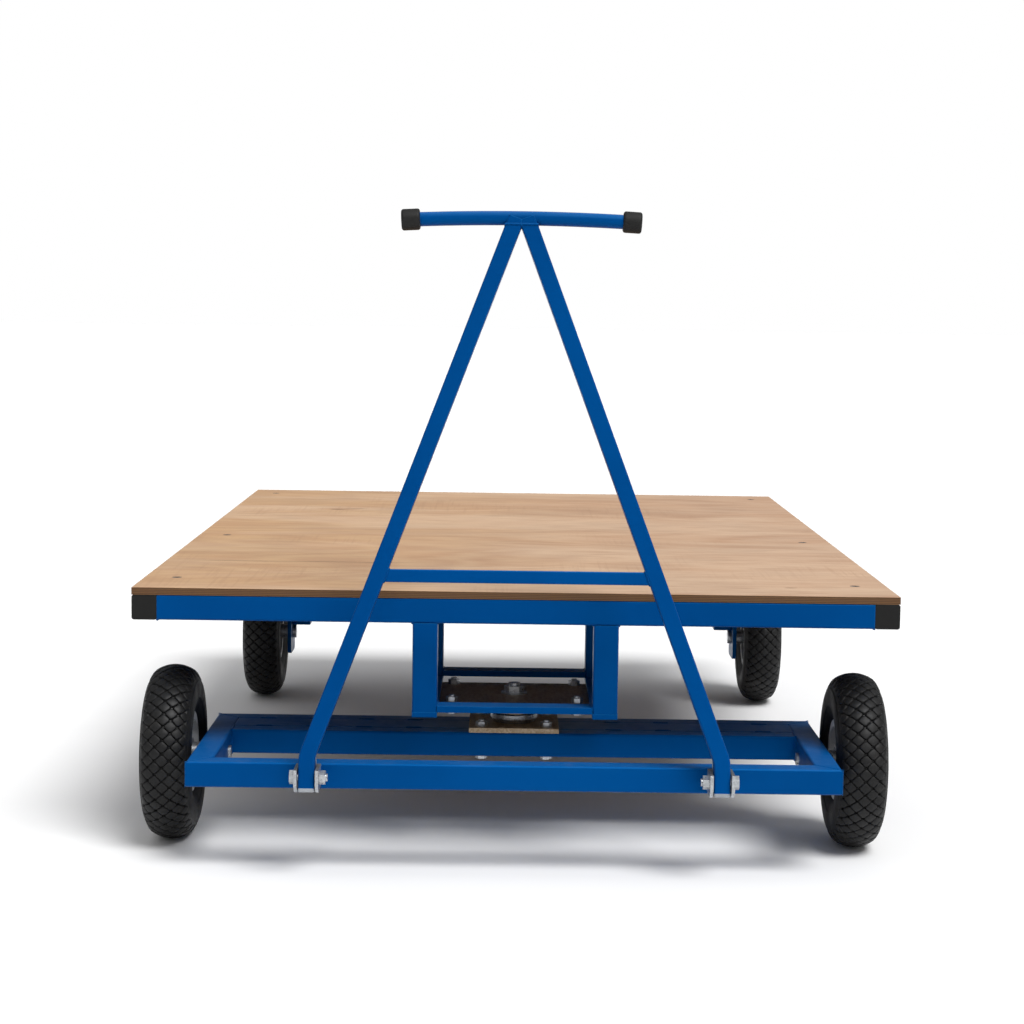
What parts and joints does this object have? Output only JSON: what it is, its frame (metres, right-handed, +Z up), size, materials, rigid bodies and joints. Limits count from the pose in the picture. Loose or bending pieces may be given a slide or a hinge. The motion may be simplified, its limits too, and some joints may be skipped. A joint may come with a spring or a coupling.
{
  "type": "flatbed platform truck",
  "caption": "Flatbed platform truck: plywood deck on a blue square-tube frame, turntable-steered front bogie, folding A-frame drawbar with T-grip, pneumatic block-tread wheels.",
  "frame": {"origin": "on the floor, at the middle of the truck's overall width and length", "axes": "+Z up, -Y towards the front, where the drawbar is, +X to the right for someone facing +Y"},
  "size_m": [1.22, 1.99, 1.0291],
  "materials": {
    "blue_paint": "semi-gloss powder coat",
    "plywood": "matt, clear sealed",
    "tyre_rubber": "matt",
    "rim_grey_paint": "satin",
    "bearing_steel": "ground",
    "black_plastic": "matt",
    "black_rubber": "matt",
    "grey_plastic": "matt",
    "passivated_plate": "dull passivated",
    "zinc_plate": "bright zinc plated"
  },
  "bodies": {
    "chassis": {"cross_rail_axle": "blue_paint", "cross_rail_middle": "blue_paint", "cross_rail_turntable": "blue_paint", "deck_board": "plywood", "deck_screws": "zinc_plate", "deck_tabs": "blue_paint", "front_rail": "blue_paint", "kingpin": "zinc_plate", "kingpin_nut": "zinc_plate", "mounting_bolts": "zinc_plate", "mounting_plate": "passivated_plate", "rail_end_caps": "black_plastic", "rear_axle_nuts": "zinc_plate", "rear_axle_plates": "blue_paint", "rear_rail": "blue_paint", "rear_stub_axles": "zinc_plate", "rear_wheel_posts": "blue_paint", "side_rail_left": "blue_paint", "side_rail_right": "blue_paint", "turntable_front_posts": "blue_paint", "turntable_rear_posts": "blue_paint", "turntable_runners": "blue_paint", "turntable_tie_bars": "blue_paint", "turntable_upper_race": "passivated_plate"},
    "wheel_front_left": {"tyre_front_left": "tyre_rubber", "rim_front_left": "rim_grey_paint", "hub_front_left": "rim_grey_paint", "bearings_front_left": "bearing_steel"},
    "wheel_front_right": {"tyre_front_right": "tyre_rubber", "rim_front_right": "rim_grey_paint", "hub_front_right": "rim_grey_paint", "bearings_front_right": "bearing_steel"},
    "wheel_rear_left": {"tyre_rear_left": "tyre_rubber", "rim_rear_left": "rim_grey_paint", "hub_rear_left": "rim_grey_paint", "bearings_rear_left": "bearing_steel"},
    "wheel_rear_right": {"tyre_rear_right": "tyre_rubber", "rim_rear_right": "rim_grey_paint", "hub_rear_right": "rim_grey_paint", "bearings_rear_right": "bearing_steel"},
    "drawbar": {"drawbar_leg_left": "blue_paint", "drawbar_leg_right": "blue_paint", "drawbar_cross_bar": "blue_paint", "drawbar_grip_bar": "blue_paint", "grip_end_caps": "black_rubber", "drawbar_leg_plugs": "grey_plastic"},
    "bogie": {"bogie_front_beam": "blue_paint", "bogie_mid_beam": "blue_paint", "bogie_rear_beam": "blue_paint", "bogie_side_beam_left": "blue_paint", "bogie_side_beam_right": "blue_paint", "bogie_cover_plate": "blue_paint", "lower_swivel_plate": "passivated_plate", "lower_plate_bolts": "zinc_plate", "turntable_lower_race": "zinc_plate", "turntable_balls": "bearing_steel", "front_stub_axles": "zinc_plate", "front_axle_nuts": "zinc_plate", "hinge_brackets": "zinc_plate", "hinge_bolts": "zinc_plate"}
  },
  "joints": [
    {"name": "steer", "type": "hinge", "parent": "chassis", "child": "bogie", "pos_m": [0, -0.599, 0.18], "axis": [0, 0, 1], "range_deg": [-18, 18]},
    {"name": "drawbar_tilt", "type": "hinge", "parent": "bogie", "child": "drawbar", "pos_m": [0, -0.976, 0.158], "axis": [1, 0, 0], "range_deg": [0, 105]},
    {"name": "spin_front_left", "type": "hinge", "parent": "bogie", "child": "wheel_front_left", "pos_m": [-0.56, -0.712, 0.143], "axis": [1, 0, 0], "continuous": true},
    {"name": "spin_front_right", "type": "hinge", "parent": "bogie", "child": "wheel_front_right", "pos_m": [0.56, -0.712, 0.143], "axis": [1, 0, 0], "continuous": true},
    {"name": "spin_rear_left", "type": "hinge", "parent": "chassis", "child": "wheel_rear_left", "pos_m": [-0.5515, 0.645, 0.143], "axis": [1, 0, 0], "continuous": true},
    {"name": "spin_rear_right", "type": "hinge", "parent": "chassis", "child": "wheel_rear_right", "pos_m": [0.5515, 0.645, 0.143], "axis": [1, 0, 0], "continuous": true}
  ]
}
